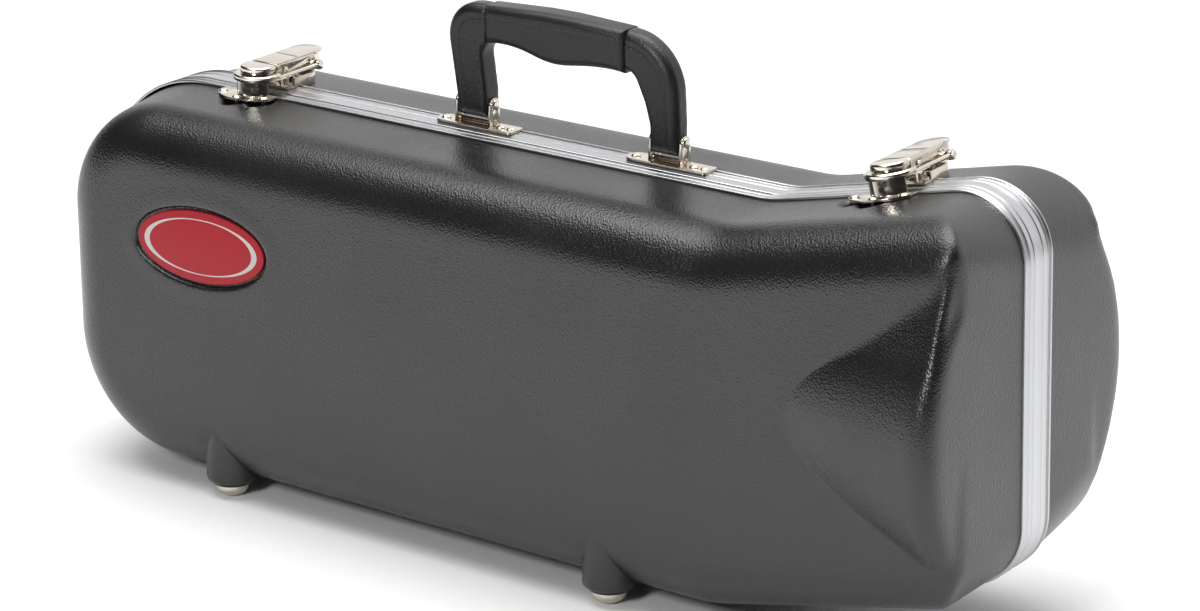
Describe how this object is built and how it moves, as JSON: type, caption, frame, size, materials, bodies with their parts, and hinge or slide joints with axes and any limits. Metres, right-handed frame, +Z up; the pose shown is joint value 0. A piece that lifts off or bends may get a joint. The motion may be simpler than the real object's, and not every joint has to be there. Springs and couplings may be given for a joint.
{
  "type": "trumpet case",
  "caption": "Moulded hard case for a trumpet: two shells in a metal valance, hinged below, with a bell bulge, draw latches, a swinging handle and a padded nest.",
  "frame": {"origin": "centre of the bounding box on the ground, under the feet", "axes": "+X along the case to the bell end, +Y to the rear (base half), +Z up to the handle"},
  "size_m": [0.57, 0.1863, 0.27],
  "materials": {
    "shell": "black moulded sheet with a fine pebble grain",
    "valance": "bright extruded aluminium with fine lengthwise ridges",
    "padding": "black plush over foam",
    "nickel": "bright nickel plate",
    "rubber": "dark rubber washer",
    "badge": "plain red plate",
    "grip": "black moulded vinyl with a leather grain",
    "rod": "copper-coloured rod"
  },
  "bodies": {
    "base": {"base_insert": "padding", "base_shell": "shell", "base_valance": "valance", "bracket_rivets": "nickel", "bracket_rods": "rod", "handle_pins": "nickel", "hinge_base_rivets": "nickel", "hinge_pins": "nickel", "latch_base_rivets": "nickel", "left_bracket": "nickel", "left_hinge_base_leaf": "nickel", "left_latch_base": "nickel", "left_pivot_pin": "nickel", "rear_feet": "nickel", "rear_washers": "rubber", "right_bracket": "nickel", "right_hinge_base_leaf": "nickel", "right_latch_base": "nickel", "right_pivot_pin": "nickel"},
    "lid": {"badge_plate": "badge", "front_feet": "nickel", "front_washers": "rubber", "hinge_lid_rivets": "nickel", "keeper_rivets": "nickel", "left_hinge_lid_leaf": "nickel", "left_keeper": "nickel", "lid_insert": "padding", "lid_shell": "shell", "lid_valance": "valance", "right_hinge_lid_leaf": "nickel", "right_keeper": "nickel"},
    "handle": {"handle_grip": "grip", "grip_sleeve": "grip"},
    "left_lever": {"left_lever": "nickel", "left_link_pin": "nickel"},
    "left_link": {"left_link": "nickel", "left_latch_cap": "nickel"},
    "right_lever": {"right_lever": "nickel", "right_link_pin": "nickel"},
    "right_link": {"right_link": "nickel", "right_latch_cap": "nickel"}
  },
  "joints": [
    {"name": "lid_hinge", "type": "hinge", "parent": "base", "child": "lid", "pos_m": [0, 0.006, 0.0032], "axis": [1, 0, 0], "range_deg": [0, 110]},
    {"name": "handle_swing", "type": "hinge", "parent": "base", "child": "handle", "pos_m": [0, 0.0123, 0.2152], "axis": [1, 0, 0], "range_deg": [-85, 85]},
    {"name": "left_lever_pivot", "type": "hinge", "parent": "base", "child": "left_lever", "pos_m": [-0.1775, 0.0085, 0.2132], "axis": [1, 0, 0], "range_deg": [0, 95]},
    {"name": "left_link_pivot", "type": "hinge", "parent": "left_lever", "child": "left_link", "pos_m": [-0.1775, 0.032, 0.2112], "axis": [1, 0, 0], "range_deg": [-80.75, 0]},
    {"name": "right_lever_pivot", "type": "hinge", "parent": "base", "child": "right_lever", "pos_m": [0.20677, 0.0085, 0.2282], "axis": [0.9748, 0, 0.2233], "range_deg": [0, 95]},
    {"name": "right_link_pivot", "type": "hinge", "parent": "right_lever", "child": "right_link", "pos_m": [0.20721, 0.032, 0.22625], "axis": [0.9748, 0, 0.2233], "range_deg": [-80.75, 0]}
  ],
  "couplings": [
    {"joint": "left_link_pivot", "follows": "left_lever_pivot", "ratio": -0.85},
    {"joint": "right_link_pivot", "follows": "right_lever_pivot", "ratio": -0.85}
  ]
}
